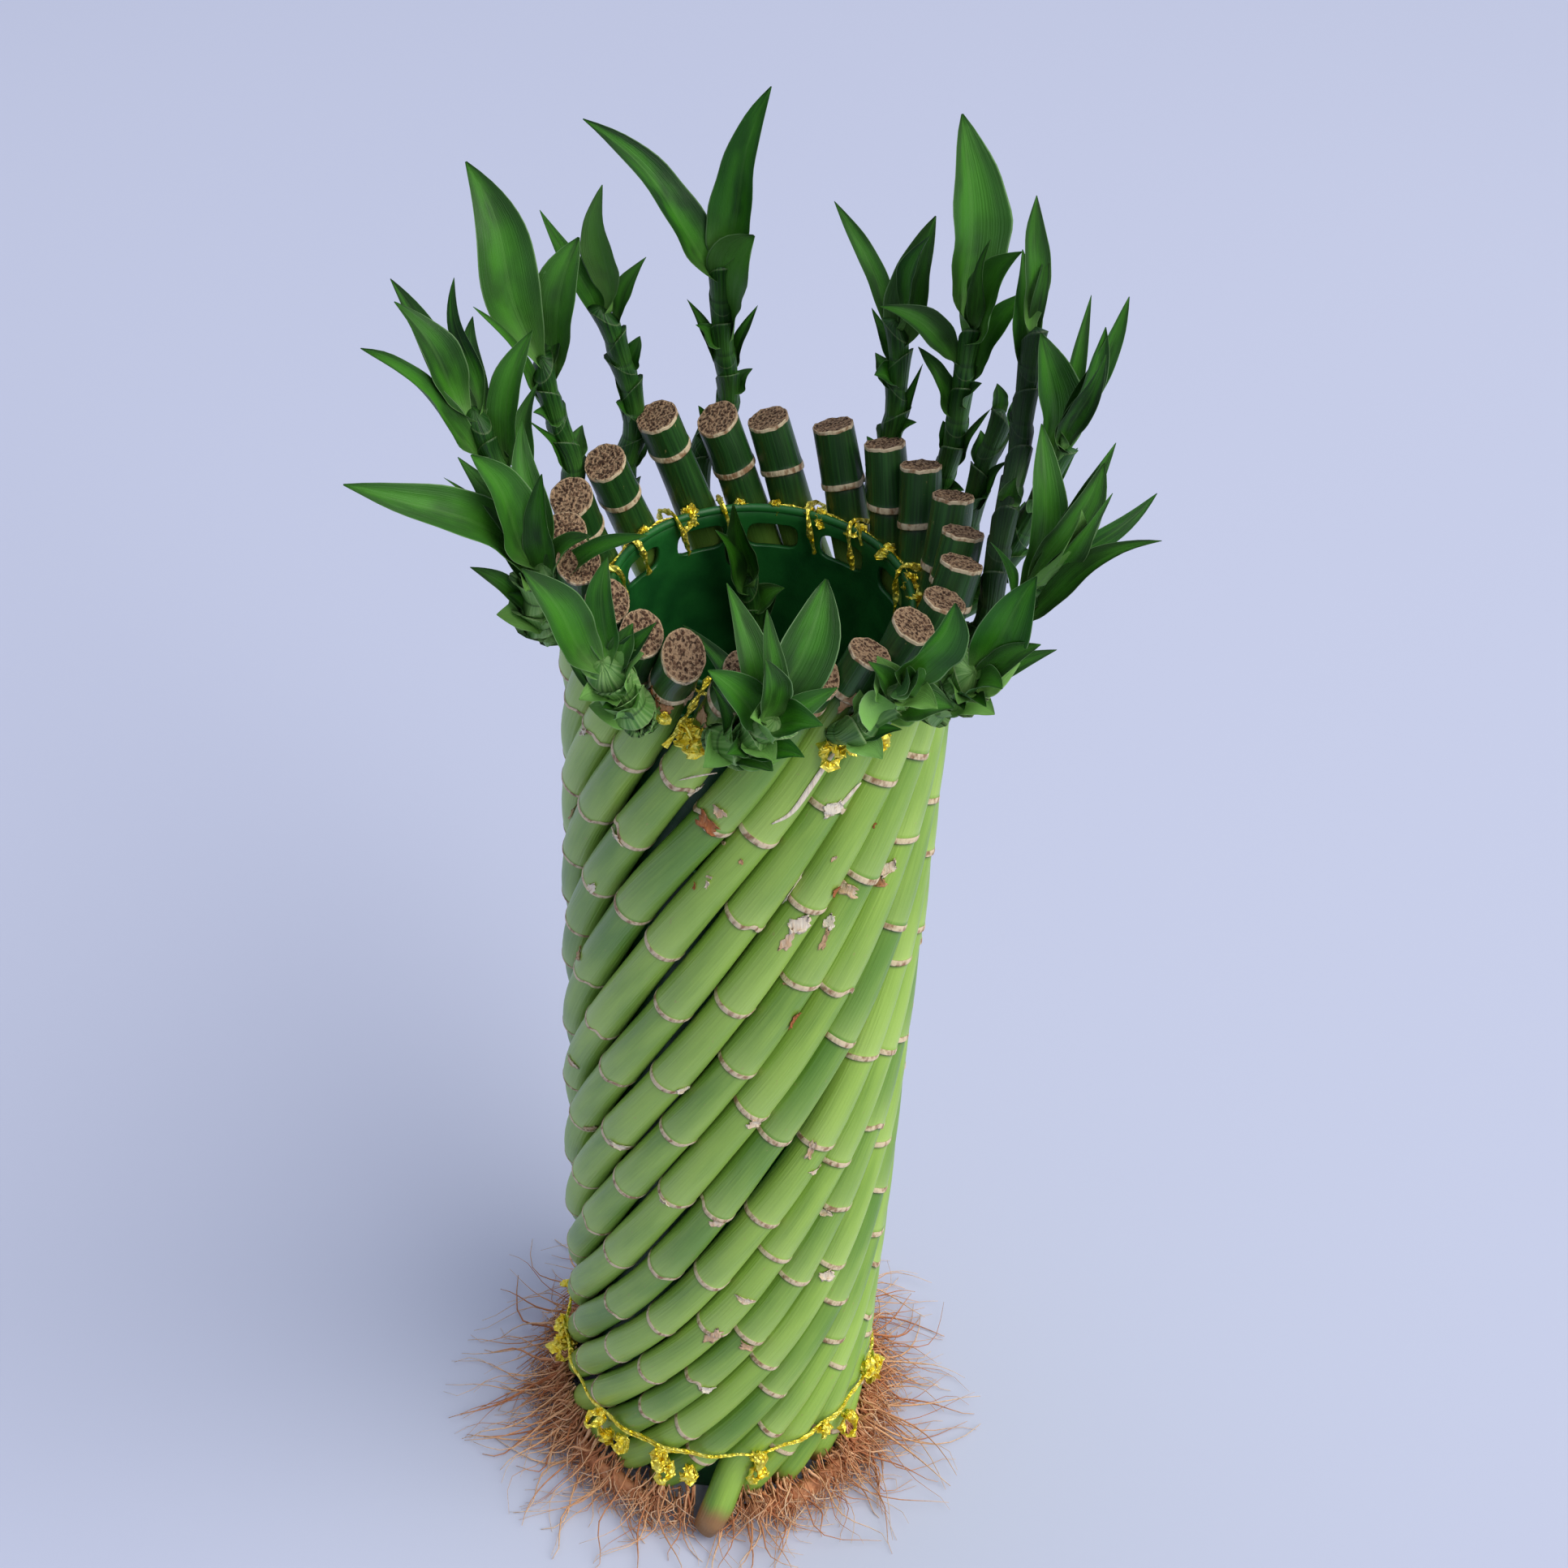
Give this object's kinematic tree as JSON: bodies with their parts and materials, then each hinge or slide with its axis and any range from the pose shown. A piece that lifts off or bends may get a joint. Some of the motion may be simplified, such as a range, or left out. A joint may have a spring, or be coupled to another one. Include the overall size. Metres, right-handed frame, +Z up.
{
  "type": "lucky bamboo tower",
  "caption": "Bare-root lucky bamboo tower: green stalks wound round a hollow perforated plastic cylinder, tied with gold foil wire, with leafy side shoots at the top and a skirt of roots.",
  "frame": {"origin": "on the tower's axis, on the surface that it stands on", "axes": "+Z up along the tower, -Y the front of the picture, +X to the right"},
  "size_m": [0.2035, 0.1668, 0.48],
  "materials": {
    "plastic": "moulded dark green plastic, satin",
    "stalk": "living green cane, waxy, tan rings at the nodes",
    "leaf": "glossy dark green leaf, paler and duller beneath",
    "foil": "gold foil over thin wire",
    "root": "matted rust-brown fibrous roots"
  },
  "bodies": {
    "root": {"plastic_cylinder": "plastic", "stalk_01": "stalk", "stalk_02": "stalk", "stalk_03": "stalk", "stalk_04": "stalk", "stalk_05": "stalk", "stalk_06": "stalk", "stalk_07": "stalk", "stalk_08": "stalk", "stalk_09": "stalk", "stalk_10": "stalk", "stalk_11": "stalk", "stalk_12": "stalk", "stalk_13": "stalk", "stalk_14": "stalk", "stalk_15": "stalk", "stalk_16": "stalk", "stalk_17": "stalk", "stalk_18": "stalk", "stalk_19": "stalk", "stalk_20": "stalk", "stalk_21": "stalk", "shoot_back_left": "leaf", "shoot_left_back": "leaf", "shoot_left_rear": "leaf", "shoot_left_upper": "leaf", "shoot_left_lower": "leaf", "shoot_front_left": "leaf", "shoot_front": "leaf", "shoot_front_right": "leaf", "shoot_right_front": "leaf", "shoot_right": "leaf", "shoot_right_tall": "leaf", "shoot_right_upper": "leaf", "shoot_right_stub": "leaf", "shoot_back_right": "leaf", "shoot_back": "leaf", "shoot_inner": "leaf", "tie_top": "foil", "tie_foot": "foil", "roots_01": "root", "roots_02": "root", "roots_03": "root", "roots_04": "root", "roots_05": "root", "roots_06": "root", "roots_07": "root"}
  },
  "joints": []
}
